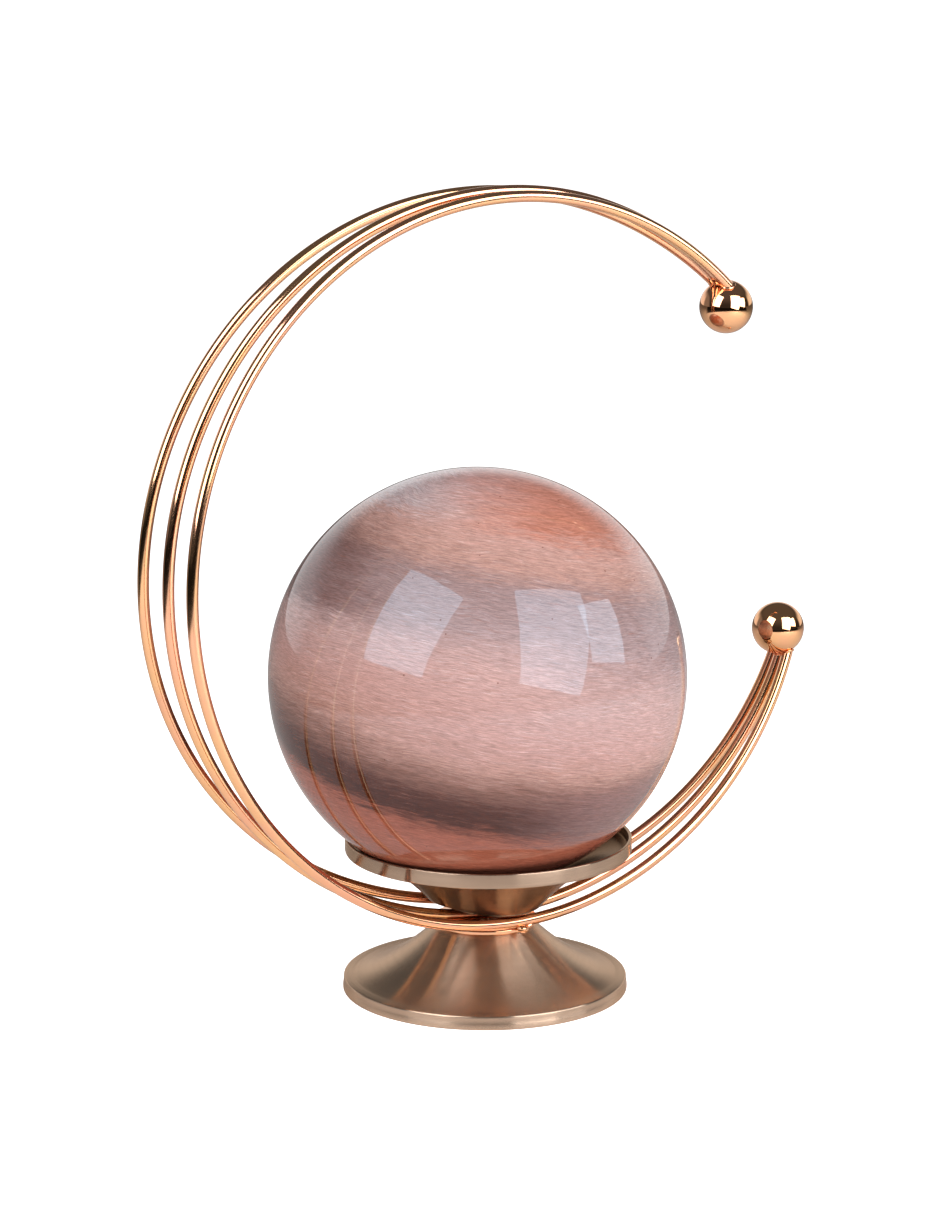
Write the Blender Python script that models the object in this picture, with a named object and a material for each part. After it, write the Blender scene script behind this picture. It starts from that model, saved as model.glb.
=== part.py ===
# Decorative sphere: a glossy marbled ball in a small bronze cup, inside a crescent of three rods
# that ends in two small balls, on a flared bronze foot.
# Sizes are in metres. The foot stands on z = 0, its axis is Z and the crescent opens toward +X.
import bpy
import numpy as np

# Gap left between two pieces that touch, and the size of the small edge roundings.
gap = 0.0003
edge_round = 0.0005

# Foot, with the rolled edge and the neck.
foot_radius = 0.0518
rim_radius = 0.0512
bead_height = 0.0016
shoulder_height = 0.0050
neck_radius = 0.0179
neck_height = 0.0242
foot_flare = 1.7
foot_segments = 48

# Washer under the rods.
washer_radius = 0.0192
washer_thickness = 0.0017

# Rods and the arc they follow.
rod_radius = 0.00205
arc_radius = 0.12914
arc_centre_x = 0.0052
arc_drop = 0.0014
arc_start = np.radians(46.74)
arc_end = np.radians(338.19)
rod_pitch = 0.0047
plane_shift = 0.0006
plane_twist = 0.0020
rod_steps = 48
rod_sides = 10

# Bow of each rod along Y and along the arc radius, for waves of one to four half turns
# from the upper end to the lower end.
front_bow = (-0.0244, 0.0009, 0.0022, 0.0007)
front_swell = (0.0005, -0.0010)
middle_bow = (-0.0125, -0.0025, 0.0009, 0.0001)
middle_swell = (0.0021, -0.0001)
back_bow = (0.0123, -0.0006, 0.0008, 0.0026)
back_swell = (0.0003, -0.0008)
back_rise = 0.0004

# End balls, set inward from the line of the rods.
ball_radius = 0.00977
ball_inset = 0.0046
ball_segments = 20
ball_rings = 10

# Cup, bolted slightly off the axis of the foot.
cup_shift_x = 0.0013
cup_radius = 0.0520
cup_wall = 0.0012
cup_stem_radius = 0.0203
cup_flare = 1.87
cup_flare_top = 0.0510
cup_rim_bottom = 0.0521
cup_rim_top = 0.0566
cup_rim_round = 0.0010
cup_bed_thickness = 0.0036
cup_segments = 48

# Clamp screw, hidden in the neck. The hole in the cup is wide enough for the cup's shift.
screw_radius = 0.0014
screw_depth = 0.0120
screw_head_radius = 0.0055
screw_head_height = 0.0024

# Ball, seated a little toward the closed side of the crescent.
sphere_radius = 0.0750
sphere_x = -0.0031
sphere_segments = 48
sphere_rings = 22

# Heights that follow from the stack on the foot.
washer_bottom = neck_height + gap
washer_top = washer_bottom + washer_thickness
rod_seat = washer_top + gap + rod_radius
stem_bottom = rod_seat + back_rise + rod_radius + gap
stem_floor = stem_bottom + cup_bed_thickness
arc_centre_z = rod_seat + arc_radius + arc_drop
hole_radius = screw_radius + gap
cup_hole_radius = hole_radius + cup_shift_x


def clear_file():
    for item in list(bpy.data.objects):
        bpy.data.objects.remove(item, do_unlink=True)


def make_material(name, colour, roughness, metallic):
    material = bpy.data.materials.new(name)
    material.use_nodes = True
    shader = material.node_tree.nodes["Principled BSDF"]
    shader.inputs["Base Color"].default_value = (colour[0], colour[1], colour[2], 1.0)
    shader.inputs["Roughness"].default_value = roughness
    shader.inputs["Metallic"].default_value = metallic
    material.diffuse_color = (colour[0], colour[1], colour[2], 1.0)
    return material


def add_object(name, points, faces, material, angle):
    mesh = bpy.data.meshes.new(name)
    mesh.from_pydata([tuple(point) for point in points], [], faces)
    mesh.validate()
    mesh.update()
    piece = bpy.data.objects.new(name, mesh)
    bpy.context.collection.objects.link(piece)
    mesh.materials.append(material)
    mesh.shade_smooth()
    mesh.set_sharp_from_angle(angle=np.radians(angle))
    return piece


def turned(name, profile, segments, material, centre_x=0.0, closed=False, angle=35.0):
    """Turn a profile of (radius, height) pairs round a vertical axis. A profile that starts and
    ends on the axis makes a solid, a closed one makes a ring."""
    turn = np.linspace(0.0, 2.0 * np.pi, segments, endpoint=False)
    points = []
    rows = []
    for radius, height in profile:
        if radius < 1e-9:
            rows.append([len(points)])
            points.append((centre_x, 0.0, height))
        else:
            rows.append(list(range(len(points), len(points) + segments)))
            xs = centre_x + radius * np.cos(turn)
            ys = radius * np.sin(turn)
            points.extend(zip(xs, ys, np.full(segments, height)))
    pairs = list(zip(rows[:-1], rows[1:]))
    if closed:
        pairs.append((rows[-1], rows[0]))
    faces = []
    for low, high in pairs:
        for i in range(segments):
            j = (i + 1) % segments
            if len(low) == 1:
                faces.append((low[0], high[j], high[i]))
            elif len(high) == 1:
                faces.append((low[i], low[j], high[0]))
            else:
                faces.append((low[i], low[j], high[j], high[i]))
    return add_object(name, points, faces, material, angle)


def flare(radius, inner, outer, inner_height, outer_height, power):
    """Height of a trumpet curve that is steep at the inner radius and flat at the outer one."""
    share = (outer - radius) / (outer - inner)
    return outer_height + (inner_height - outer_height) * share ** power


def foot_profile():
    shoulder_radius = rim_radius - edge_round
    radii = np.linspace(shoulder_radius, neck_radius, 9)
    heights = flare(radii, neck_radius, shoulder_radius, neck_height, shoulder_height, foot_flare)
    curve = list(zip(radii, heights))
    return ([(0.0, 0.0), (foot_radius - edge_round, 0.0), (foot_radius, edge_round),
             (foot_radius, bead_height - edge_round), (rim_radius, bead_height),
             (rim_radius, shoulder_height - edge_round)]
            + curve
            + [(hole_radius, neck_height), (hole_radius, neck_height - screw_depth - gap),
               (0.0, neck_height - screw_depth - gap)])


def saddle_rise(x):
    """How far the rods have risen above their lowest point at a distance along X."""
    reach = arc_radius - rod_radius
    return reach - np.sqrt(reach ** 2 - (x - arc_centre_x) ** 2)


def cut_saddle(piece):
    """Lift the underside of the cup's stem to the curve that the rods follow."""
    points = np.empty(len(piece.data.vertices) * 3)
    piece.data.vertices.foreach_get("co", points)
    points = points.reshape(-1, 3)
    under = points[:, 2] < stem_bottom + 0.5 * (stem_floor - stem_bottom)
    points[under, 2] += saddle_rise(points[under, 0])
    piece.data.vertices.foreach_set("co", points.ravel())
    piece.data.update()


def cup_outer_curve(radii):
    return flare(radii, cup_stem_radius, cup_radius - cup_rim_round,
                 stem_bottom + edge_round, cup_flare_top, cup_flare)


def cup_inner_curve(radii):
    """Inside of the dish: the outer curve pushed in by the wall, measured square to the slope."""
    step = 0.1 * cup_wall
    slope = (cup_outer_curve(radii) - cup_outer_curve(radii - step)) / step
    return cup_outer_curve(radii) + cup_wall * np.sqrt(1.0 + slope ** 2)


def cup_profile():
    inner_radius = cup_radius - cup_wall
    outer_radii = np.linspace(cup_stem_radius, cup_radius - cup_rim_round - edge_round, 7)
    outer = list(zip(outer_radii, cup_outer_curve(outer_radii)))
    inner_radii = np.linspace(inner_radius - cup_rim_round - edge_round,
                              cup_stem_radius + cup_rim_round, 6)
    inner = list(zip(inner_radii, cup_inner_curve(inner_radii)))
    return ([(cup_hole_radius, stem_bottom), (cup_stem_radius - edge_round, stem_bottom)]
            + outer
            + [(cup_radius, cup_rim_bottom), (cup_radius, cup_rim_top - edge_round),
               (cup_radius - edge_round, cup_rim_top), (inner_radius, cup_rim_top),
               (inner_radius, cup_rim_bottom + edge_round)]
            + inner
            + [(cup_stem_radius - cup_wall, stem_floor), (cup_hole_radius, stem_floor)])


def sphere_height():
    """Lowest centre height at which the ball just clears the inside of the dish."""
    radii = np.linspace(cup_stem_radius + cup_rim_round, cup_radius - cup_wall - cup_rim_round, 400)
    off_axis = radii - (cup_shift_x - sphere_x)
    rise = np.sqrt((sphere_radius + gap) ** 2 - off_axis ** 2)
    return float(np.max(cup_inner_curve(radii) + rise))


def ball_centre(angle, end):
    """Centre of the ball past the end of the arc at that angle. end is -1 for the upper end, where
    the arc is followed backwards, and 1 for the lower one."""
    lead = np.sqrt((ball_radius + gap) ** 2 - ball_inset ** 2)
    reach = arc_radius - ball_inset
    return np.array([arc_centre_x + reach * np.cos(angle) - end * lead * np.sin(angle),
                     plane_shift + end * plane_twist,
                     arc_centre_z + reach * np.sin(angle) + end * lead * np.cos(angle)])


def rod_path(t, side, bow, swell):
    """Centre line of a rod for t from 0 at the upper end to 1 at the lower end: an arc about the
    crescent's centre, bowed sideways by a sum of sine waves that vanish at both ends."""
    angle = arc_start + (arc_end - arc_start) * t
    radius = arc_radius + sum(a * np.sin((k + 1) * np.pi * t) for k, a in enumerate(swell))
    sideways = side * rod_pitch + sum(a * np.sin((k + 1) * np.pi * t) for k, a in enumerate(bow))
    return np.stack([arc_centre_x + radius * np.cos(angle),
                     plane_shift + plane_twist * (2.0 * t - 1.0) + sideways,
                     arc_centre_z + radius * np.sin(angle)], axis=1)


def rod_frames(path):
    """Two unit vectors square to the path at each point."""
    along = np.gradient(path, axis=0)
    along /= np.linalg.norm(along, axis=1)[:, None]
    across = np.array([0.0, 1.0, 0.0]) - along[:, 1:2] * along
    across /= np.linalg.norm(across, axis=1)[:, None]
    return across, np.cross(along, across)


def rod_rings(t, side, bow, swell, lift, sides):
    path = rod_path(t, side, bow, swell)
    path[:, 2] += lift
    across, outward = rod_frames(path)
    turn = np.linspace(0.0, 2.0 * np.pi, sides, endpoint=False)
    return (path[:, None, :] + rod_radius * (np.cos(turn)[None, :, None] * across[:, None, :]
                                             + np.sin(turn)[None, :, None] * outward[:, None, :]))


def rod_limits(side, bow, swell, lift):
    """Where the rod has to stop so that its flat ends keep the gap from the two end balls."""
    t = np.linspace(-0.02, 1.02, 4161)
    rings = rod_rings(t, side, bow, swell, lift, 24)
    upper = np.linalg.norm(rings - ball_centre(arc_start, -1.0), axis=2)
    lower = np.linalg.norm(rings - ball_centre(arc_end, 1.0), axis=2)
    clear_upper = upper.min(axis=1) >= ball_radius + gap
    clear_lower = lower.min(axis=1) >= ball_radius + gap
    first = t[np.where(~clear_upper)[0].max() + 1]
    last = t[np.where(~clear_lower)[0].min() - 1]
    return first, last


def add_rod(name, side, bow, swell, rise, material):
    low = rod_path(np.linspace(0.0, 1.0, 2001), side, bow, swell)[:, 2].min()
    lift = rod_seat + rise - low
    first, last = rod_limits(side, bow, swell, lift)
    rings = rod_rings(np.linspace(first, last, rod_steps + 1), side, bow, swell, lift, rod_sides)
    points = rings.reshape(-1, 3)
    faces = []
    for i in range(rod_steps):
        for j in range(rod_sides):
            k = (j + 1) % rod_sides
            faces.append((i * rod_sides + j, i * rod_sides + k,
                          (i + 1) * rod_sides + k, (i + 1) * rod_sides + j))
    faces.append(tuple(reversed(range(rod_sides))))
    faces.append(tuple(rod_steps * rod_sides + j for j in range(rod_sides)))
    return add_object(name, points, faces, material, 50.0)


def add_round(name, centre, radius, segments, rings, material):
    tilt = np.linspace(-0.5 * np.pi, 0.5 * np.pi, rings + 1)
    profile = [(0.0 if k in (0, rings) else radius * np.cos(a), centre[2] + radius * np.sin(a))
               for k, a in enumerate(tilt)]
    piece = turned(name, profile, segments, material, centre_x=centre[0], angle=60.0)
    points = np.empty(len(piece.data.vertices) * 3)
    piece.data.vertices.foreach_get("co", points)
    points = points.reshape(-1, 3)
    points[:, 1] += centre[1]
    piece.data.vertices.foreach_set("co", points.ravel())
    piece.data.update()
    return piece


clear_file()

bronze_foot = make_material("foot_bronze", (0.45, 0.33, 0.24), 0.32, 1.0)
bronze_cup = make_material("cup_bronze", (0.47, 0.35, 0.25), 0.30, 1.0)
rose_washer = make_material("washer_rose_gold", (0.88, 0.58, 0.42), 0.18, 1.0)
rose_front = make_material("front_rod_rose_gold", (0.90, 0.59, 0.42), 0.10, 1.0)
rose_middle = make_material("middle_rod_rose_gold", (0.90, 0.59, 0.42), 0.10, 1.0)
rose_back = make_material("back_rod_rose_gold", (0.90, 0.59, 0.42), 0.10, 1.0)
rose_upper = make_material("upper_ball_rose_gold", (0.90, 0.58, 0.40), 0.06, 1.0)
rose_lower = make_material("lower_ball_rose_gold", (0.90, 0.58, 0.40), 0.06, 1.0)
steel_screw = make_material("screw_steel", (0.55, 0.55, 0.56), 0.35, 1.0)
marbled = make_material("marbled_gloss", (0.62, 0.38, 0.32), 0.08, 0.0)

turned("foot", foot_profile(), foot_segments, bronze_foot)

turned("neck_washer",
       [(hole_radius, washer_bottom), (washer_radius, washer_bottom),
        (washer_radius, washer_top), (hole_radius, washer_top)],
       foot_segments, rose_washer, closed=True)

add_rod("rod_front", -1.0, front_bow, front_swell, 0.0, rose_front)
add_rod("rod_middle", 0.0, middle_bow, middle_swell, 0.0, rose_middle)
add_rod("rod_back", 1.0, back_bow, back_swell, back_rise, rose_back)

add_round("ball_upper", ball_centre(arc_start, -1.0), ball_radius,
          ball_segments, ball_rings, rose_upper)
add_round("ball_lower", ball_centre(arc_end, 1.0), ball_radius,
          ball_segments, ball_rings, rose_lower)

cup = turned("cup", cup_profile(), cup_segments, bronze_cup, centre_x=cup_shift_x, closed=True)
cut_saddle(cup)

head_bottom = stem_floor + gap
turned("clamp_screw",
       [(0.0, neck_height - screw_depth), (screw_radius, neck_height - screw_depth),
        (screw_radius, head_bottom), (screw_head_radius, head_bottom),
        (screw_head_radius, head_bottom + screw_head_height),
        (0.0, head_bottom + screw_head_height)],
       24, steel_screw)

add_round("sphere", np.array([sphere_x, 0.0, sphere_height()]), sphere_radius,
          sphere_segments, sphere_rings, marbled)
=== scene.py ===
# %% [markdown]
# # Marbled ball in a rose-gold crescent
# An ornament about 290 mm tall. A glossy marbled ball rests in a small brushed bronze cup, inside an
# open crescent of three slim rods that ends in two polished balls, all on a flared bronze foot.
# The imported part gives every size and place. This script remakes each piece as a smooth surface,
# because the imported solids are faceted, and gives it a finish.

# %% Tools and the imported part
import bpy
import numpy as np
from mathutils import Matrix, Quaternion, Vector


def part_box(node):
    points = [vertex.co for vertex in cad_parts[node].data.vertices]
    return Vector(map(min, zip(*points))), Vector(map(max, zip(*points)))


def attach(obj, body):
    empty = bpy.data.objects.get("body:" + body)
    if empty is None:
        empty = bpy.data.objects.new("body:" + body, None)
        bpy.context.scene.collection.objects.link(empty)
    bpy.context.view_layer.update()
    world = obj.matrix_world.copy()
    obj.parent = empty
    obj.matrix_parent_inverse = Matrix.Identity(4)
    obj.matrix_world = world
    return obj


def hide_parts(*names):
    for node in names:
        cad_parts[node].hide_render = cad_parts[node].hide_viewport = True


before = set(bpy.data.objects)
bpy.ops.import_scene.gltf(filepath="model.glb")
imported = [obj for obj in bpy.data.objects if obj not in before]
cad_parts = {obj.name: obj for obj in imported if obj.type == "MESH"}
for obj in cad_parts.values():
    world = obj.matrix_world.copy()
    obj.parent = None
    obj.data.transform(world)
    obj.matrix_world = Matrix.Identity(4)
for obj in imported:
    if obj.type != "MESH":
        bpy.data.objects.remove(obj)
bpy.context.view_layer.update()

# %% [markdown]
# ## The camera
# The photograph was taken from the front, turned about 26 degrees toward the closed side of
# the crescent, and a little from above. A long lens 1.2 m away keeps the ellipses of the foot and the
# cup narrow. The camera is made first, because every later choice is judged through it.

# %% Camera
view_turn = np.radians(-26.47)
view_rise = np.radians(11.64)
view_distance = 1.2004
view_target = np.array([-0.00487, 0.00242, 0.14075])
toward_camera = np.array([np.sin(view_turn) * np.cos(view_rise),
                          -np.cos(view_turn) * np.cos(view_rise), np.sin(view_rise)])
camera_right = np.array([np.cos(view_turn), np.sin(view_turn), 0.0])
camera_up = np.cross(toward_camera, camera_right)

camera_data = bpy.data.cameras.new("studio_camera")
camera_data.sensor_fit = "AUTO"
camera_data.sensor_width = 36.0
camera_data.lens = 99.65
camera_data.clip_start = 0.05
camera_data.clip_end = 100.0
camera = bpy.data.objects.new("studio_camera", camera_data)
bpy.context.scene.collection.objects.link(camera)
axes = np.stack([camera_right, camera_up, toward_camera], axis=1)
camera.matrix_world = (Matrix.Translation(Vector(view_target + view_distance * toward_camera))
                       @ Matrix(axes.tolist()).to_4x4())
bpy.context.scene.camera = camera
print("camera at", [round(v, 3) for v in camera.matrix_world.translation])

# %% [markdown]
# ## Surfaces from grids
# Nearly every piece here is either turned on a lathe or drawn as a rod, and both are a surface of two
# parameters. One helper takes a grid of points, rows along the profile and columns round the piece,
# and joins it into faces, with its own UV map: U round the piece and V along it. A row that has
# shrunk to one point is closed with triangles, so poles have no doubled points.

# %% One helper that turns a grid into a mesh
def skin(name, grid, closed_rows=False, sharp=None):
    """Mesh from grid[row, column] of points. Columns always close on themselves. closed_rows joins the
    last row to the first. A row whose points all coincide becomes one point. Edges that turn by more
    than sharp degrees stay crisp."""
    rows, columns = grid.shape[:2]
    pole = np.ptp(grid, axis=1).max(axis=1) < 1e-9
    counts = np.where(pole, 1, columns)
    starts = np.concatenate([[0], np.cumsum(counts)[:-1]])
    points = np.concatenate([grid[i, :1] if pole[i] else grid[i] for i in range(rows)])
    index = starts[:, None] + np.where(pole[:, None], 0, np.arange(columns)[None, :])
    lower = np.arange(rows if closed_rows else rows - 1)
    upper = (lower + 1) % rows
    here = np.arange(columns)
    there = (here + 1) % columns
    corners = np.stack([index[lower][:, here], index[lower][:, there],
                        index[upper][:, there], index[upper][:, here]], axis=-1)
    us = np.stack([here, here + 1, here + 1, here], axis=-1) / columns
    us = np.broadcast_to(us, corners.shape)
    low_v, high_v = lower / rows, (lower + 1) / rows
    vs = np.stack([low_v, low_v, high_v, high_v], axis=-1)[:, None, :]
    vs = np.broadcast_to(vs, corners.shape)
    corners, us, vs = (a.reshape(-1, 4) for a in (corners, us, vs))
    low_pole = corners[:, 0] == corners[:, 1]
    high_pole = corners[:, 2] == corners[:, 3]
    groups = [(~low_pole & ~high_pole, [0, 1, 2, 3]), (low_pole, [0, 2, 3]), (high_pole, [0, 1, 2])]
    faces, uvs = [], []
    for chosen, keep in groups:
        faces += corners[chosen][:, keep].tolist()
        uvs.append(np.stack([us[chosen][:, keep], vs[chosen][:, keep]], axis=-1).reshape(-1, 2))
    mesh = bpy.data.meshes.new(name)
    mesh.from_pydata(points.tolist(), [], faces)
    mesh.uv_layers.new(name="UVMap").data.foreach_set("uv", np.concatenate(uvs).ravel())
    mesh.shade_smooth()
    if sharp is not None:
        mesh.set_sharp_from_angle(angle=np.radians(sharp))
    mesh.update()
    piece = bpy.data.objects.new(name, mesh)
    bpy.context.scene.collection.objects.link(piece)
    return piece


def turn_profile(profile, segments, centre=(0.0, 0.0)):
    """Grid of a turned piece: each (radius, height) of the profile swept once round a vertical axis
    through centre, anticlockwise seen from above."""
    angle = 2.0 * np.pi * np.arange(segments) / segments
    radius, height = profile[:, 0], profile[:, 1]
    return np.stack([centre[0] + radius[:, None] * np.cos(angle)[None, :],
                     centre[1] + radius[:, None] * np.sin(angle)[None, :],
                     np.broadcast_to(height[:, None], (len(height), segments))], axis=-1)


def rounded(corners, radii, steps=6):
    """A profile of straight lines with soft corners: (1 - s)^2 * a + 2 * s * (1 - s) * corner +
    s^2 * b, where a and b lie on the two lines at the given radius from the corner, or nearly halfway
    along a short line."""
    corners = np.asarray(corners, float)
    out = [corners[:1]]
    s = np.linspace(0.0, 1.0, steps)[:, None]
    for before, here, after, radius in zip(corners[:-2], corners[1:-1], corners[2:], radii[1:-1]):
        if radius <= 0.0:
            out.append(here[None, :])
            continue
        a = here + (before - here) * min(0.49, radius / np.linalg.norm(before - here))
        b = here + (after - here) * min(0.49, radius / np.linalg.norm(after - here))
        out.append((1 - s) ** 2 * a + 2 * s * (1 - s) * here + s ** 2 * b)
    out.append(corners[-1:])
    return np.concatenate(out)


def dress(piece, node, material):
    """Put the finish on a piece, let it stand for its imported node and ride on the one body."""
    piece.data.materials.clear()
    piece.data.materials.append(material)
    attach(piece, "root")
    if node:
        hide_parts(node)
    print(piece.name, "has", len(piece.data.polygons), "faces")


print("helpers ready")

# %% [markdown]
# ## Node helpers
# A finish is a small network of nodes. Two short helpers keep the networks readable: one adds a node
# and sets its values, the other links sockets.

# %% Helpers for networks of nodes
class Network:
    """A node tree and short ways to add to it. Every method gives back a socket."""

    def __init__(self, tree):
        self.nodes, self.links = tree.nodes, tree.links

    def add(self, kind, settings=None, **inputs):
        """A node of that kind, its settings, and its inputs by name or by number as in i0, i1."""
        node = self.nodes.new(kind)
        for key, value in (settings or {}).items():
            setattr(node, key, value)
        for key, value in inputs.items():
            by_number = key[0] == "i" and key[1:].isdigit()
            socket = node.inputs[int(key[1:]) if by_number else key.replace("_", " ")]
            if isinstance(value, bpy.types.NodeSocket):
                self.links.new(value, socket)
            else:
                socket.default_value = value
        return node.outputs

    def math(self, operation, a, b=0.0, c=0.0):
        """One Math node; a, b and c are sockets or numbers."""
        return self.add("ShaderNodeMath", {"operation": operation}, i0=a, i1=b, i2=c)[0]

    def dot(self, vector, axis):
        """How far a vector reaches along an axis: x * ax + y * ay + z * az."""
        product = self.add("ShaderNodeVectorMath", {"operation": "DOT_PRODUCT"}, i0=vector, i1=axis)
        return product["Value"]

    def noise(self, vector, scale, detail, rough=0.55):
        """Smooth random pattern between 0 and 1."""
        return self.add("ShaderNodeTexNoise", Vector=vector, Scale=scale, Detail=detail,
                        Roughness=rough)[0]

    def remap(self, value, a, b, low, high, smooth=True):
        """low where value is a, high where it is b, held outside, with a soft or a straight change."""
        kind = "SMOOTHSTEP" if smooth else "LINEAR"
        return self.add("ShaderNodeMapRange", {"interpolation_type": kind},
                        Value=value, i1=a, i2=b, i3=low, i4=high)[0]

    def ramp(self, value, stops, smooth=True):
        """Colour ramp from (place, (red, green, blue)) stops."""
        node = self.nodes.new("ShaderNodeValToRGB")
        node.color_ramp.interpolation = "EASE" if smooth else "LINEAR"
        elements = node.color_ramp.elements
        while len(elements) < len(stops):
            elements.new(0.5)
        for element, (place, colour) in zip(elements, stops):
            element.position = place
            element.color = (*colour, 1.0)
        self.links.new(value, node.inputs["Fac"])
        return node.outputs["Color"]

    def mix(self, factor, a, b, blend="MIX"):
        """Mix two colours."""
        node = self.nodes.new("ShaderNodeMix")
        node.data_type = "RGBA"
        node.blend_type = blend
        a, b = (v if isinstance(v, bpy.types.NodeSocket) else (*v, 1.0) for v in (a, b))
        for place, value in ((0, factor), (6, a), (7, b)):
            if isinstance(value, bpy.types.NodeSocket):
                self.links.new(value, node.inputs[place])
            else:
                node.inputs[place].default_value = value
        return node.outputs[2]


class Finish(Network):
    """One Principled material and the nodes that drive it."""

    def __init__(self, name, **values):
        self.material = bpy.data.materials.new(name)
        self.material.use_nodes = True
        super().__init__(self.material.node_tree)
        self.shader = self.nodes["Principled BSDF"]
        for key, value in values.items():
            socket = key.replace("_", " ").title().replace("Ior", "IOR")
            self.shader.inputs[socket].default_value = value

    def to(self, value, name):
        """Link a socket to an input of the shader."""
        self.links.new(value, self.shader.inputs[name])


print("node helpers ready")

# %% [markdown]
# ## Sizes
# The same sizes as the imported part, in metres. The foot stands on z = 0 with its axis on Z, and the
# crescent opens toward +X. Everything else is worked out from these, so the surfaces stay on the
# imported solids.

# %% Sizes
gap = 0.0003
foot_radius, rim_radius = 0.0518, 0.0512
bead_height, shoulder_height = 0.0016, 0.0050
neck_radius, neck_height = 0.0179, 0.0242
washer_radius, washer_thickness = 0.0192, 0.0017
rod_radius = 0.00205
arc_radius, arc_drop, arc_centre_x = 0.12914, 0.0014, 0.0052
arc_start, arc_end = np.radians(46.74), np.radians(338.19)
rod_pitch, plane_shift, plane_twist = 0.0047, 0.0006, 0.0020
ball_radius, ball_inset = 0.00977, 0.0046
cup_shift_x, cup_radius, cup_wall = 0.0013, 0.0520, 0.0012
cup_stem_radius, cup_flare_top = 0.0203, 0.0510
cup_rim_bottom, cup_rim_top = 0.0521, 0.0566
sphere_radius, sphere_x = 0.0750, -0.0031

washer_bottom = neck_height + gap
washer_top = washer_bottom + washer_thickness
rod_seat = washer_top + gap + rod_radius
arc_centre_z = rod_seat + arc_radius + arc_drop
back_rise = 0.0004
stem_bottom = rod_seat + back_rise + rod_radius + gap
stem_floor = stem_bottom + 0.0036
low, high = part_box("sphere")
sphere_centre = np.array([sphere_x, 0.0, 0.5 * (low.z + high.z)])
print("ball centre at", np.round(sphere_centre, 4))

# %% [markdown]
# ## The foot
# A spun metal foot: a small bead where the edge is rolled under, a short upright wall set a little
# back from it, a rounded shoulder and then a concave flare, like the bell of a trumpet, up to the
# neck. It is a lathe shape, so it is one profile turned round Z. The flare is a power curve, steep at
# the neck and flat at the shoulder.

# %% Foot
def flare(radius, inner, outer, inner_height, outer_height, power):
    """outer_height + (inner_height - outer_height) * ((outer - radius) / (outer - inner)) ^ power."""
    share = np.clip((outer - radius) / (outer - inner), 0.0, 1.0)
    return outer_height + (inner_height - outer_height) * share ** power


flare_radius, flare_power = rim_radius - 0.0005, 1.7
flare_radii = np.linspace(flare_radius, neck_radius, 90)
flare_heights = flare(flare_radii, neck_radius, flare_radius, neck_height, shoulder_height,
                      flare_power)
wall_radius, underside_radius = foot_radius - 0.0003, 0.0480
foot_edge = rounded([(underside_radius, 0.0), (foot_radius, 0.0), (foot_radius, bead_height),
                     (wall_radius, bead_height + 0.0014), (wall_radius, shoulder_height),
                     (rim_radius - 0.0030, shoulder_height + 0.0003)],
                    [0, 0.0005, 0.0007, 0.0008, 0.0007, 0])
flare_from = flare_radii < foot_edge[-1, 0] - 0.0002
foot_profile = np.concatenate([
    [(0.0, 0.0), (0.020, 0.0), (0.040, 0.0)], foot_edge,
    np.stack([flare_radii, flare_heights], axis=1)[flare_from],
    [(neck_radius - 0.0006, neck_height), (0.008, neck_height), (0.0, neck_height)]])
foot = skin("spun_foot", turn_profile(foot_profile, 192), sharp=40)
print("foot is", round(float(foot_profile[:, 1].max()) * 1000, 1), "mm tall")

# %% [markdown]
# ## The washer
# A thin polished disc that clamps the rods on the neck. Its edge shows under the front rod as a
# bright line, so the edge is rounded to catch the light.

# %% Washer
washer_hole = 0.0017
washer_profile = rounded([(washer_hole, washer_bottom), (washer_radius, washer_bottom),
                          (washer_radius, washer_top), (washer_hole, washer_top)],
                         [0, 0.0005, 0.0005, 0])
washer = skin("neck_disc", turn_profile(washer_profile, 128), closed_rows=True, sharp=50)
print("washer is", round(2000 * washer_radius, 1), "mm across")

# %% [markdown]
# ## The three rods
# Each rod follows an arc of about 290 degrees, bowed sideways so that the three fan apart round the
# closed side and come together at the tips. The centre line is worked out first, as a sum of sine
# waves on the arc that vanish at both ends. A circle is then carried along it, from just inside one
# tip ball to just inside the other.

# %% Rods
# name: (side, sizes of the sideways waves, sizes of the waves in radius, rise)
rod_shapes = {
    "front": (-1.0, (-0.0244, 0.0009, 0.0022, 0.0007), (0.0005, -0.0010), 0.0),
    "middle": (0.0, (-0.0125, -0.0025, 0.0009, 0.0001), (0.0021, -0.0001), 0.0),
    "back": (1.0, (0.0123, -0.0006, 0.0008, 0.0026), (0.0003, -0.0008), back_rise)}


def waves(t, sizes):
    """Sum of sizes[k] * sin((k + 1) * pi * t)."""
    return sum(size * np.sin((k + 1) * np.pi * t) for k, size in enumerate(sizes))


def rod_path(t, side, bow, swell, rise):
    """Centre line: an arc in XZ whose radius and whose Y each carry a sum of sine waves. It is then
    raised so that its lowest point lies on the washer."""
    def line(t):
        angle = arc_start + (arc_end - arc_start) * t
        radius = arc_radius + waves(t, swell)
        across = side * rod_pitch + plane_shift + plane_twist * (2.0 * t - 1.0) + waves(t, bow)
        return np.stack([arc_centre_x + radius * np.cos(angle), across,
                         arc_centre_z + radius * np.sin(angle)], axis=1)
    path = line(t)
    path[:, 2] += rod_seat + rise - line(np.linspace(0.0, 1.0, 2001))[:, 2].min()
    return path


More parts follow.
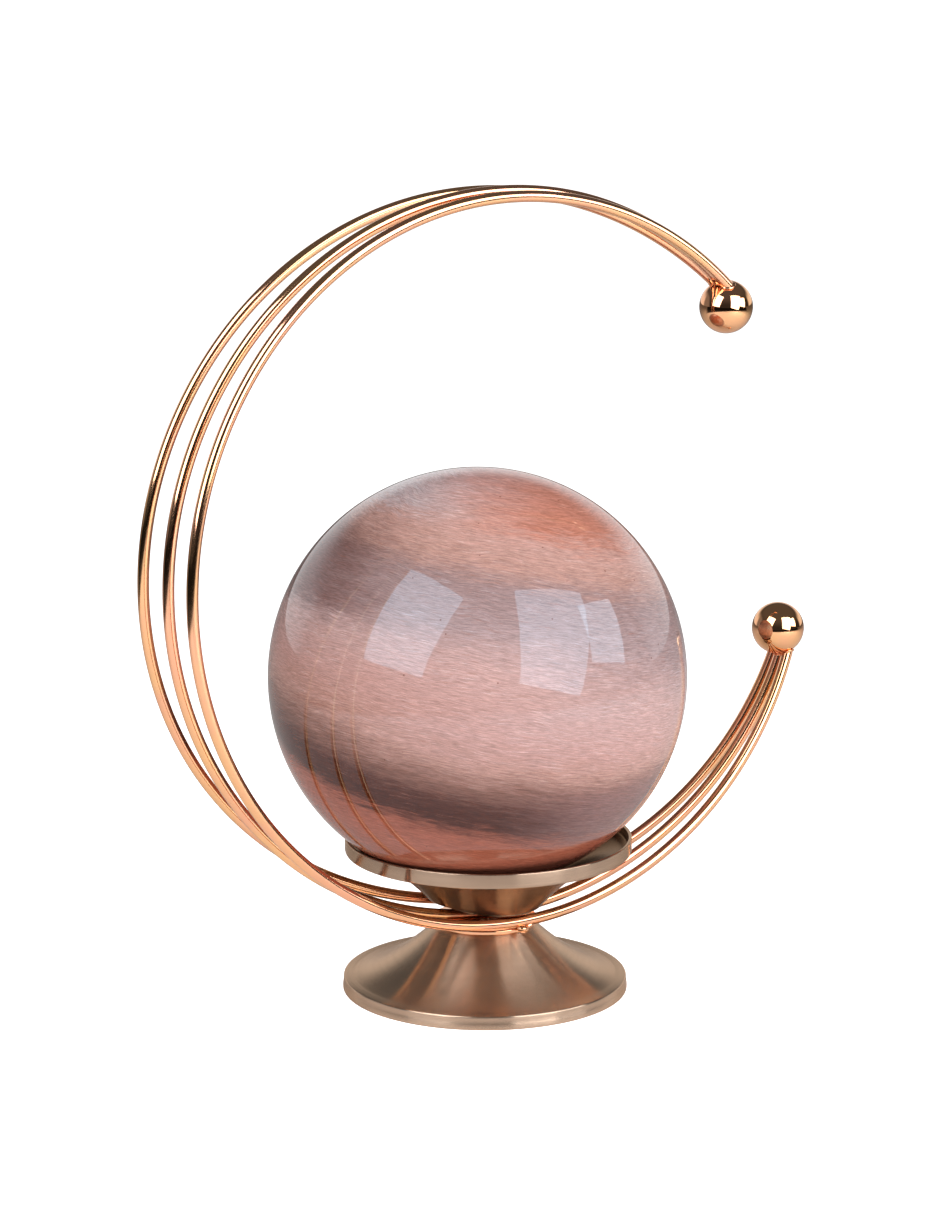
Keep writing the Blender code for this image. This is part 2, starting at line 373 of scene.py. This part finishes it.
def tube(path, radius, sides):
    """Grid of a tube: at each point of the path a circle square to it, path + radius * (cos(turn) *
    across + sin(turn) * outward), with across kept as close to Y as it can be."""
    along = np.gradient(path, axis=0)
    along /= np.linalg.norm(along, axis=1)[:, None]
    across = np.array([0.0, 1.0, 0.0]) - along[:, 1:2] * along
    across /= np.linalg.norm(across, axis=1)[:, None]
    outward = np.cross(along, across)
    turn = 2.0 * np.pi * np.arange(sides) / sides
    radius = np.broadcast_to(radius, len(path))[:, None, None]
    return path[:, None, :] + radius * (np.cos(turn)[None, :, None] * across[:, None, :]
                                        + np.sin(turn)[None, :, None] * outward[:, None, :])


def ball_centre(angle, end):
    """Centre of a tip ball: on from the end of the arc and a little inward."""
    lead = np.sqrt((ball_radius + gap) ** 2 - ball_inset ** 2)
    reach = arc_radius - ball_inset
    return np.array([arc_centre_x + reach * np.cos(angle) - end * lead * np.sin(angle),
                     plane_shift + end * plane_twist,
                     arc_centre_z + reach * np.sin(angle) + end * lead * np.cos(angle)])


upper_centre, lower_centre = ball_centre(arc_start, -1.0), ball_centre(arc_end, 1.0)
rod_sides, rod_points = 64, 600
past_ends = np.linspace(-0.02, 1.02, 4161)
rods, rod_tips = {}, {}
for name, shape in rod_shapes.items():
    path = rod_path(past_ends, *shape)
    inside_upper = np.linalg.norm(path - upper_centre, axis=1) < ball_radius
    inside_lower = np.linalg.norm(path - lower_centre, axis=1) < ball_radius
    first = past_ends[np.where(inside_upper)[0].max() - 1]
    last = past_ends[np.where(inside_lower)[0].min() + 1]
    path = rod_path(np.linspace(first, last, rod_points), *shape)
    rod_tips[name] = (path[0], path[-1])
    ends = [np.broadcast_to(path[k], (1, rod_sides, 3)) for k in (0, -1)]
    grid = np.concatenate([ends[0], tube(path, rod_radius, rod_sides), ends[1]])
    rods[name] = skin("rod_" + name + "_polished", grid, sharp=50)
    length = float(np.linalg.norm(np.diff(path, axis=0), axis=1).sum())
    print(name, "rod is", round(length, 4), "m long")

# %% [markdown]
# ## The tip balls
# Two polished balls stand on the ends of the rods. A ball is a half circle turned round Z. The rods
# are brazed to them, which leaves a small soft bead round each rod end.

# %% Tip balls
def ball_grid(centre, radius, rings, segments):
    """Grid of a sphere: radius * cos(tilt) round the axis and radius * sin(tilt) up it."""
    tilt = np.linspace(-0.5 * np.pi, 0.5 * np.pi, rings + 1)
    profile = np.stack([radius * np.cos(tilt), centre[2] + radius * np.sin(tilt)], axis=1)
    profile[[0, -1], 0] = 0.0
    return turn_profile(profile, segments, centre[:2])


upper_ball = skin("tip_ball_upper", ball_grid(upper_centre, ball_radius, 48, 96))
lower_ball = skin("tip_ball_lower", ball_grid(lower_centre, ball_radius, 48, 96))
print("tip balls are", round(2000 * ball_radius, 1), "mm across")

# %% [markdown]
# ## Small beads of metal
# Brazing and welding leave a soft, slightly uneven collar of metal at each join. One surface serves
# for all of them: a collar round an axis, fat in the middle, closed at both ends.

# %% Brazed beads at the rod ends
def bead_grid(centre, axis, radius, height, seed):
    """Grid of a soft collar round axis: its radius swells and falls as the root of a half sine along
    the height, with a slow ripple of a few percent round it."""
    axis = axis / np.linalg.norm(axis)
    side = np.cross(axis, [0.0, 1.0, 0.0])
    side /= np.linalg.norm(side)
    other = np.cross(axis, side)
    s = np.linspace(0.0, 1.0, 13)
    turn = 2.0 * np.pi * np.arange(28) / 28
    ripple = 1.0 + 0.05 * np.sin(3 * turn + seed) + 0.04 * np.sin(5 * turn + 2.3 * seed)
    swell = radius * np.sin(np.pi * s)[:, None] ** 0.5 * ripple[None, :]
    return (centre + height * (s[:, None, None] - 0.5) * axis
            + swell[..., None] * (np.cos(turn)[None, :, None] * side
                                  + np.sin(turn)[None, :, None] * other))


beads = []
braze_radius, braze_height = 0.0026, 0.0016
for name, tips in rod_tips.items():
    for where, tip, centre in (("upper", tips[0], upper_centre), ("lower", tips[1], lower_centre)):
        toward_rod = tip - centre
        place = centre + toward_rod * (ball_radius + 0.0002) / np.linalg.norm(toward_rod)
        bead = skin("braze_" + name + "_" + where,
                    bead_grid(place, toward_rod, braze_radius, braze_height, 1.7 * len(beads)))
        beads.append(bead)

# %% The bead that holds the front rod to the washer, and its tail
weld_place = np.array([0.0046, -0.0207, washer_top + 0.0002])
weld = skin("washer_weld", bead_grid(weld_place, np.array([0.35, 0.15, 1.0]), 0.0021, 0.0030, 0.8))
weld_tail = skin("washer_weld_tail",
                 bead_grid(weld_place + [0.0036, 0.0011, 0.0007], np.array([1.0, 0.35, 0.25]),
                           0.0008, 0.0034, 2.1))
beads += [weld, weld_tail]
print("beads:", len(beads))

# %% [markdown]
# ## The cup
# A thin dish spun from sheet: a stem that flares out, a small step, and a short upright rim. It is
# turned like the foot, but its profile runs down both sides of the sheet. The inner side is the outer
# one pushed in by the wall, measured square to the slope. The underside of the stem is cut to the
# curve of the rods.

# %% Cup
def cup_outside(radius):
    """The flare of the foot turned over: it leaves the stem and rises to the rim, with power 1.87."""
    return flare(radius, cup_stem_radius, cup_radius - 0.0010, stem_bottom + 0.0005, cup_flare_top,
                 1.87)


def cup_inside(radius):
    """The outside raised by wall * sqrt(1 + slope^2)."""
    slope = np.gradient(cup_outside(radius), radius)
    return cup_outside(radius) + cup_wall * np.sqrt(1.0 + slope ** 2)


out_radii = np.linspace(cup_stem_radius, cup_radius - 0.0016, 70)
in_radii = np.linspace(cup_radius - cup_wall - 0.0016, cup_stem_radius + 0.0010, 60)
inner = cup_radius - cup_wall
under = rounded([(0.0030, stem_bottom), (cup_stem_radius, stem_bottom),
                 (cup_stem_radius + 0.0001, stem_bottom + 0.0006)], [0, 0.0005, 0])
rim = rounded([(out_radii[-1], cup_outside(out_radii[-1:])[0]), (cup_radius, cup_rim_bottom - 0.0008),
               (cup_radius, cup_rim_top), (inner, cup_rim_top), (inner, cup_rim_bottom + 0.0006),
               (in_radii[0], cup_inside(in_radii)[0])],
              [0, 0.0010, 0.0004, 0.0004, 0.0008, 0])
bed = rounded([(in_radii[-1], cup_inside(in_radii)[-1]), (cup_stem_radius - 0.0012, stem_floor),
               (0.0030, stem_floor)], [0, 0.0012, 0])
cup_profile = np.concatenate([
    under[:-1], np.stack([out_radii, cup_outside(out_radii)], axis=1)[:-1], rim,
    np.stack([in_radii, cup_inside(in_radii)], axis=1)[1:-1], bed])
cup_grid = turn_profile(cup_profile, 192, (cup_shift_x, 0.0))
saddle_radius = arc_radius - rod_radius
saddle = saddle_radius - np.sqrt(saddle_radius ** 2 - (cup_grid[..., 0] - arc_centre_x) ** 2)
fade_height = 0.003
cup_grid[..., 2] += saddle * np.clip(1.0 - (cup_grid[..., 2] - stem_bottom) / fade_height, 0.0, 1.0)
cup = skin("spun_cup", cup_grid, closed_rows=True, sharp=40)
print("cup is", round(2000 * cup_radius, 1), "mm across")

# %% [markdown]
# ## The clamp screw
# One screw runs up through the foot's neck and the washer into the cup. It is hidden, so it is only a
# plain turned stud with a low round head.

# %% Clamp screw
low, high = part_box("clamp_screw")
stud_radius, head_radius, head_bottom = 0.0014, 0.0055, high.z - 0.0024
screw_profile = rounded([(0.0, low.z), (stud_radius, low.z), (stud_radius, head_bottom),
                         (head_radius, head_bottom), (head_radius, high.z), (0.0, high.z)],
                        [0, 0.0003, 0, 0.0003, 0.0008, 0])
screw = skin("hidden_screw", turn_profile(screw_profile, 64), sharp=40)
print("screw is", round(1000 * (high.z - low.z), 1), "mm long")

# %% [markdown]
# ## The marbled ball
# The ball is a full sphere. Its banding is all in the finish; the surface itself is smooth glaze.

# %% Ball
ball = skin("marbled_ball", ball_grid(sphere_centre, sphere_radius, 160, 256))
print("ball is", round(2000 * sphere_radius, 1), "mm across")

# %% [markdown]
# ## Polished rose gold
# The rods, the balls and the washer are plated metal with a mirror polish. A mirror takes its look
# from the room, so the finish itself is quiet: a peach metal colour that drifts a little between pink
# and gold, a low roughness with faint wipe marks, and a very shallow waviness. The rods are drawn and
# then polished by hand, so they are a little less sharp than the balls.

# %% Rose gold
def rose_gold(name, colour, roughness, wave_scale, wave_height):
    """Metal whose colour, roughness and bump each come from a noise pattern. wave_scale is how many
    waves lie in a metre, and wave_height is how high they are in metres."""
    f = Finish(name, metallic=1.0, roughness=roughness, base_color=(*colour, 1.0))
    place = f.add("ShaderNodeTexCoord")["Object"]
    drift = f.add("ShaderNodeTexNoise", Vector=place, Scale=38.0, Detail=3.0, Roughness=0.6)[0]
    pink = tuple(c * k for c, k in zip(colour, (1.0, 0.93, 1.0)))
    gold = tuple(c * k for c, k in zip(colour, (1.0, 1.05, 0.90)))
    f.to(f.ramp(drift, [(0.32, pink), (0.68, gold)]), "Base Color")
    wipe = f.add("ShaderNodeTexNoise", Vector=place, Scale=110.0, Detail=2.0, Roughness=0.5)[0]
    f.to(f.math("MULTIPLY_ADD", wipe, 0.02, roughness - 0.01), "Roughness")
    wave = f.add("ShaderNodeTexNoise", Vector=place, Scale=wave_scale, Detail=2.0)[0]
    bump = f.add("ShaderNodeBump", Strength=0.25, Distance=wave_height, Height=wave)[0]
    f.to(bump, "Normal")
    return f.material


rod_colour = (0.96, 0.52, 0.30)
rod_finish = rose_gold("rod_rose_gold", rod_colour, 0.10, 40.0, 0.00002)
ball_finish = rose_gold("ball_rose_gold", (0.96, 0.51, 0.28), 0.035, 90.0, 0.0002)
washer_finish = rose_gold("washer_rose_gold", rod_colour, 0.12, 240.0, 0.0003)
print("rose gold finishes ready")

# %% [markdown]
# ## Brushed bronze
# The foot and the cup are spun, then brushed while they turn. That leaves fine rings round the axis,
# so the rings are read from the distance to the axis and the height, and change only slowly round the
# piece. Light then spreads across the rings and not along them. A soft cloud of tarnish lies over
# them. The inside of the cup and the underside of its rim see little light, so they are darkened with
# painted shade.

# %% Bronze
def brushed_bronze(name, colour, axis_x, roughness, inside_shade=None):
    """Metal with rings: noise on (radius, height, a slow turn), where radius = sqrt(x^2 + y^2). The
    last
    argument, for the cup, is painted shade: factors that darken it below the rim, and twice over where
    it faces up or in."""
    f = Finish(name, metallic=0.93, roughness=roughness, base_color=(*colour, 1.0),
               anisotropic=1.0, anisotropic_rotation=0.25, specular_tint=(0.80, 0.68, 0.58, 1.0))
    place = f.add("ShaderNodeTexCoord")["Object"]
    centred = f.add("ShaderNodeMapping", i0=place, Location=(-axis_x, 0.0, 0.0))[0]
    parts = f.add("ShaderNodeSeparateXYZ", i0=centred)
    flat = f.add("ShaderNodeCombineXYZ", X=parts["X"], Y=parts["Y"])[0]
    radius = f.add("ShaderNodeVectorMath", {"operation": "LENGTH"}, i0=flat)["Value"]
    along = f.math("MULTIPLY", f.math("ARCTAN2", parts["Y"], parts["X"]), 1.3)

    def rings(pitch, detail):
        ring_place = f.add("ShaderNodeCombineXYZ", X=f.math("DIVIDE", radius, pitch),
                           Y=f.math("DIVIDE", parts["Z"], pitch), Z=along)[0]
        return f.add("ShaderNodeTexNoise", Vector=ring_place, Scale=1.0, Detail=detail,
                     Roughness=0.6)[0]

    coarse, fine = rings(0.0006, 3.0), rings(0.00022, 2.0)
    cloud = f.add("ShaderNodeTexNoise", Vector=place, Scale=45.0, Detail=4.0, Roughness=0.6)[0]
    dark = tuple(c * 0.93 for c in colour)
    light = tuple(min(1.0, c * 1.06) for c in colour)
    base = f.ramp(f.math("ADD", f.math("MULTIPLY", coarse, 0.6), f.math("MULTIPLY", cloud, 0.4)),
                  [(0.35, dark), (0.65, light)])
    if inside_shade:
        normal = f.add("ShaderNodeTexCoord")["Normal"]
        outward = f.math("DIVIDE", f.dot(normal, flat), radius)
        upward = f.dot(normal, (0.0, 0.0, 1.0))
        inside = f.remap(f.math("SUBTRACT", outward, upward), -0.4, 0.0, 1.0, 0.0)
        below_edge = f.remap(parts["Z"], cup_rim_top - 0.0008, cup_rim_top - 0.0002, 1.0, 0.0)
        inside = f.math("MULTIPLY", inside, below_edge)
        below_rim = f.remap(parts["Z"], cup_rim_bottom - 0.0020, cup_rim_bottom - 0.0008, 1.0, 0.0)
        # Painted shade: the cup is darkened below its rim, and more inside it, where little light
        # reaches.
        for share in (inside, f.math("MAXIMUM", inside, below_rim)):
            base = f.mix(share, base, f.mix(1.0, base, inside_shade, "MULTIPLY"))
    f.to(base, "Base Color")
    f.to(f.math("MULTIPLY_ADD", fine, 0.08, roughness - 0.04), "Roughness")
    lines = f.math("ADD", f.math("MULTIPLY", coarse, 0.5), fine)
    f.to(f.add("ShaderNodeBump", Strength=0.16, Distance=0.00003, Height=lines)[0], "Normal")
    f.to(f.add("ShaderNodeTangent", {"direction_type": "UV_MAP", "uv_map": "UVMap"})[0], "Tangent")
    return f.material


foot_finish = brushed_bronze("foot_bronze", (0.56, 0.40, 0.29), 0.0, 0.25)
# The last colour holds the painted shade factors for the inside and the underside of the cup.
cup_finish = brushed_bronze("cup_bronze", (0.46, 0.325, 0.235), cup_shift_x, 0.22,
                            (0.50, 0.42, 0.35))
print("bronze finishes ready")

# %% Plain steel for the hidden screw
steel = Finish("screw_steel", metallic=1.0, roughness=0.35, base_color=(0.55, 0.55, 0.56, 1.0))
grain = steel.add("ShaderNodeTexNoise", Vector=steel.add("ShaderNodeTexCoord")["Object"],
                  Scale=900.0, Detail=3.0)[0]
steel.to(steel.math("MULTIPLY_ADD", grain, 0.2, 0.28), "Roughness")
print("steel ready")

# %% [markdown]
# ## The marbled glaze
# The banding looks like sedimentary stone: terracotta and pink at the top, a grey-mauve belt, a wide
# pale pink belt, a thin dark brown belt that dips to the right, and salmon underneath. All of it is
# drawn out into fine fibres along the belts. A clear gloss lies over it.
#
# Each belt is a range of height along a tilted axis. The height is bent by large soft noise, so the
# belts swell and thin, and frayed by fine noise stretched along the belts, which gives the fibres.

# %% Where a point lies in the belts
upper_axis = (0.187, 0.001, 0.982)
lower_axis = (0.118, -0.216, 0.953)
bright_side = (0.895, -0.446, 0.0)

glaze = Finish("marbled_glaze", roughness=0.02, ior=1.5, specular_ior_level=0.46,
               specular_tint=(0.50, 0.80, 1.0, 1.0))
place = glaze.add("ShaderNodeTexCoord")["Object"]
unit = glaze.add("ShaderNodeMapping", i0=place, Scale=(1.0 / sphere_radius,) * 3,
                 Location=tuple(-sphere_centre / sphere_radius))[0]
level_up = glaze.add("ShaderNodeSeparateXYZ", i0=unit)["Z"]
tilt_share = glaze.remap(level_up, -0.2, 0.4, 0.0, 1.0)
belt_height = glaze.math(
    "ADD",
    glaze.math("MULTIPLY", glaze.dot(unit, lower_axis), glaze.math("SUBTRACT", 1.0, tilt_share)),
    glaze.math("MULTIPLY", glaze.dot(unit, upper_axis), tilt_share))
sway = glaze.math("MULTIPLY_ADD", glaze.noise(unit, 3.0, 2.0), 0.05, -0.025)


def along_belts(stretch):
    """Coordinates for noise drawn out along the upper belts: stretch times finer across them. A slow
    sway tips the fibres a few degrees up and down."""
    across = glaze.math("ADD", glaze.dot(unit, upper_axis), sway)
    return glaze.add("ShaderNodeCombineXYZ", X=glaze.dot(unit, (0.982, 0.0, -0.187)),
                     Y=glaze.dot(unit, (0.0, 1.0, 0.0)),
                     Z=glaze.math("MULTIPLY", across, stretch))[0]


billow = glaze.noise(unit, 1.7, 2.0)
sheaf = glaze.noise(along_belts(9.0), 3.2, 6.0, 0.66)
fibre = glaze.noise(along_belts(15.0), 9.0, 6.0, 0.75)
bends = ((billow, 0.06), (sheaf, 0.17), (fibre, 0.20))
bent = belt_height
for pattern, amount in bends:
    bent = glaze.math("ADD", bent, glaze.math("MULTIPLY_ADD", pattern, amount, -0.5 * amount))
side = glaze.math("ADD", glaze.dot(unit, bright_side),
                  glaze.math("MULTIPLY_ADD", sheaf, 0.5, -0.25))
most = 0.5 * sum(amount for _, amount in bends) * sphere_radius
print("the ball's belts move by", round(1000 * most, 1), "mm at most")

# %% The belts, from the cup upward
belts = [(-0.90, (0.31, 0.085, 0.045)), (-0.58, (0.42, 0.125, 0.075)), (-0.45, (0.37, 0.105, 0.06)),
         (-0.37, (0.080, 0.018, 0.006)), (-0.27, (0.10, 0.030, 0.017)), (-0.16, (0.25, 0.115, 0.085)),
         (-0.06, (0.48, 0.26, 0.215)), (0.05, (0.53, 0.30, 0.265)), (0.21, (0.51, 0.32, 0.295)),
         (0.35, (0.36, 0.25, 0.245)), (0.53, (0.31, 0.20, 0.19)), (0.63, (0.46, 0.255, 0.21)),
         (0.76, (0.53, 0.30, 0.255)), (0.88, (0.56, 0.34, 0.31)), (0.98, (0.56, 0.34, 0.32))]
colour = glaze.ramp(glaze.math("MULTIPLY_ADD", bent, 0.5, 0.5),
                    [(0.5 + 0.5 * height, tint) for height, tint in belts], smooth=False)


def belt_patch(colour, tint, strength, height_in, height_out, side_from, side_to):
    """Mix a tint into the belts between two heights, fading in from one side."""
    rise = glaze.remap(bent, height_in - 0.08, height_in + 0.04, 0.0, strength)
    fall = glaze.remap(bent, height_out - 0.04, height_out + 0.08, 1.0, 0.0)
    share = glaze.math("MULTIPLY", rise, fall)
    share = glaze.math("MULTIPLY", share, glaze.remap(side, side_from, side_to, 0.0, 1.0))
    return glaze.mix(share, colour, tint)


# Painted shade: the grey-mauve belts are darkened toward the left side, away from the lamps.
colour = belt_patch(colour, (0.20, 0.095, 0.082), 0.85, 0.30, 0.66, -0.30, -0.75)
# Painted light: the dark brown belt is lightened toward the bright side where the lamps fall, and its
# tone is a little greyer there.
colour = belt_patch(colour, (0.26, 0.130, 0.118), 0.75, -0.42, -0.16, 0.05, 0.65)
colour = belt_patch(colour, (0.47, 0.15, 0.085), 0.80, 0.78, 1.20, -0.25, 0.40)
colour = belt_patch(colour, (0.56, 0.46, 0.47), 0.85, 0.80, 1.20, 0.05, -0.45)

# %% Fibres, clouds and specks
hair = glaze.noise(along_belts(15.0), 17.0, 5.0, 0.78)
strand = glaze.remap(hair, 0.36, 0.64, 0.68, 1.24, False)
strand_tint = glaze.add("ShaderNodeCombineColor", i0=strand, i1=strand, i2=strand)[0]
colour = glaze.mix(1.0, colour, strand_tint, "MULTIPLY")
dark_fibres = glaze.remap(glaze.noise(along_belts(18.0), 9.0, 6.0, 0.8), 0.55, 0.67, 0.0, 0.55)
colour = glaze.mix(dark_fibres, colour, (0.32, 0.12, 0.08))
pale_fibres = glaze.remap(glaze.noise(along_belts(22.0), 9.0, 6.0, 0.8), 0.53, 0.66, 0.0, 0.75)
colour = glaze.mix(pale_fibres, colour, glaze.mix(1.0, colour, (1.35, 1.62, 1.72), "MULTIPLY"))
spots = glaze.add("ShaderNodeTexVoronoi", Vector=unit, Scale=17.0, Randomness=1.0)
lot = glaze.add("ShaderNodeSeparateColor", i0=spots["Color"])[0]
chosen = glaze.remap(lot, 0.80, 0.82, 0.0, 0.7)
speck = glaze.math("MULTIPLY", glaze.remap(spots["Distance"], 0.05, 0.10, 1.0, 0.0), chosen)
colour = glaze.mix(speck, colour, (0.16, 0.05, 0.03))
glaze.to(colour, "Base Color")
glaze.to(glaze.math("MULTIPLY_ADD", hair, 0.02, 0.008), "Roughness")
ripple = glaze.noise(unit, 8.0, 2.0)
glaze.to(glaze.add("ShaderNodeBump", Strength=0.10, Distance=0.0003, Height=ripple)[0], "Normal")
print("the glaze has", len(glaze.nodes), "nodes")

# %% [markdown]
# ## Dressing the pieces
# Each piece gets its finish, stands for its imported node, and rides on the one body. The beads stand
# for no node: they are small extra metal at the joins.

# %% Put the finishes on
dress(foot, "foot", foot_finish)
dress(washer, "neck_washer", washer_finish)
dress(rods["front"], "rod_front", rod_finish)
dress(rods["middle"], "rod_middle", rod_finish)
dress(rods["back"], "rod_back", rod_finish)
dress(upper_ball, "ball_upper", ball_finish)
dress(lower_ball, "ball_lower", ball_finish)
dress(cup, "cup", cup_finish)
dress(screw, "clamp_screw", steel.material)
dress(ball, "sphere", glaze.material)
for bead in beads:
    dress(bead, None, rod_finish)

# %% [markdown]
# ## The studio
# The photograph was taken on a white table in a dim room, with white paper behind and soft boxes to
# the left and to the right of the camera. Polished metal shows that room: the white paper round the
# edge of each tip ball, the dark room in its upper half with the soft boxes in it, and the table
# below. So the world here is the same room, painted by direction.
#
# A camera ray that misses the object sees plain white, as on the printed page. That is set by asking
# what kind of ray it is, so every view gets it. Screens show the render with the plain transform,
# which keeps whites white and the copper full.

# %% Room
bpy.context.scene.view_settings.view_transform = "Standard"
page_white = 1.15
world = bpy.data.worlds.new("studio")
world.use_nodes = True
bpy.context.scene.world = world
room = Network(world.node_tree)
way = room.add("ShaderNodeTexCoord")["Generated"]
up_share = room.add("ShaderNodeSeparateXYZ", i0=way)["Z"]
seen = room.add("ShaderNodeLightPath")["Is Camera Ray"]
dim, ceiling, left_wall, paper_behind = 0.035, 0.10, 0.24, 0.95
light = room.remap(up_share, 0.15, 0.75, dim, ceiling)


def patch(direction, edge, inside, top, top_fade):
    """Share of a soft-edged patch of the room round a level direction, up to a height."""
    round_it = room.remap(room.dot(way, direction), edge, inside, 0.0, 1.0)
    return room.math("MULTIPLY", round_it, room.remap(up_share, top, top_fade, 1.0, 0.0))


for share, value in ((patch((-0.643, 0.766, 0.0), 0.79, 0.90, 0.45, 0.60), left_wall),
                     (patch((0.500, 0.866, 0.0), 0.30, 0.50, 0.20, 0.50), paper_behind)):
    light = room.math("ADD", room.math("MULTIPLY", light, room.math("SUBTRACT", 1.0, share)),
                      room.math("MULTIPLY", share, value))
light = room.math("ADD", room.math("MULTIPLY", light, room.math("SUBTRACT", 1.0, seen)),
                  room.math("MULTIPLY", seen, page_white))
room.links.new(light, room.nodes["Background"].inputs["Strength"])
room.nodes["Background"].inputs["Color"].default_value = (1.0, 1.0, 1.0, 1.0)
print("the room has", len(room.nodes), "nodes")

# %% [markdown]
# ## The floor
# The table is pale paper. To the camera it glows the same white as the page, so no edge shows. What
# the metal mirrors is a table of limited reach in front, and paper behind.

# %% Floor
floor_mesh = bpy.data.meshes.new("studio_floor")
half = 40.0
floor_mesh.from_pydata([(-half, -half, 0.0), (half, -half, 0.0), (half, half, 0.0),
                        (-half, half, 0.0)], [], [(0, 1, 2, 3)])
floor = bpy.data.objects.new("studio_floor", floor_mesh)
bpy.context.scene.collection.objects.link(floor)
paper = Finish("pale_paper", roughness=0.9, specular_ior_level=0.0,
               emission_color=(1.0, 1.0, 1.0, 1.0))
spot = paper.add("ShaderNodeTexCoord")["Object"]
table_centre = (0.25, -0.20, 0.0)
from_table = paper.add("ShaderNodeVectorMath", {"operation": "DISTANCE"}, i0=spot, i1=table_centre)
on_table = paper.remap(from_table["Value"], 0.84, 0.96, 1.0, 0.0)
behind = paper.remap(paper.dot(spot, (0.446, 0.895, 0.0)), 0.0, 0.3, 0.0, 1.0)
is_paper = paper.math("MAXIMUM", on_table, behind)
paper.to(paper.mix(is_paper, (0.05, 0.05, 0.05), (0.90, 0.86, 0.83)), "Base Color")
paper.to(paper.math("MULTIPLY", paper.add("ShaderNodeLightPath")["Is Camera Ray"], page_white),
         "Emission Strength")
floor_mesh.materials.append(paper.material)
print("floor ready")

# %% [markdown]
# ## The lamps
# Three soft boxes face the ball: a large one at the left, a large one in front and to the right, and a
# small one at the right. They light the object and show as pale windows on the glaze. The camera
# doesn't see the boxes themselves.

# %% Lamps
def soft_box(name, toward, width, height, roll):
    """A soft box that faces the ball from the direction toward, turned by roll degrees from upright.
    Its power is the brightness of its face * area * pi."""
    toward = np.array(toward) / np.linalg.norm(toward)
    lamp = bpy.data.lights.new(name, "AREA")
    lamp.shape = "RECTANGLE"
    lamp.size, lamp.size_y = width, height
    lamp.energy = box_glow * width * height * np.pi
    lamp.color = box_tint
    holder = bpy.data.objects.new(name, lamp)
    bpy.context.scene.collection.objects.link(holder)
    holder.location = Vector(sphere_centre + box_distance * toward)
    holder.rotation_mode = "QUATERNION"
    holder.rotation_quaternion = (Vector(-toward).to_track_quat("-Z", "Y")
                                  @ Quaternion((0.0, 0.0, 1.0), np.radians(roll)))
    holder.visible_camera = False
    print(name, "at", [round(v, 2) for v in holder.location])


box_glow, box_tint, box_distance = 4.5, (0.94, 0.97, 1.0), 0.9
soft_box("left_box", (-0.763, -0.266, 0.589), 0.60, 0.79, -6.0)
soft_box("front_right_box", (0.300, -0.837, 0.458), 0.61, 0.84, -19.0)
soft_box("right_box", (0.729, -0.575, 0.372), 0.35, 0.42, -16.0)
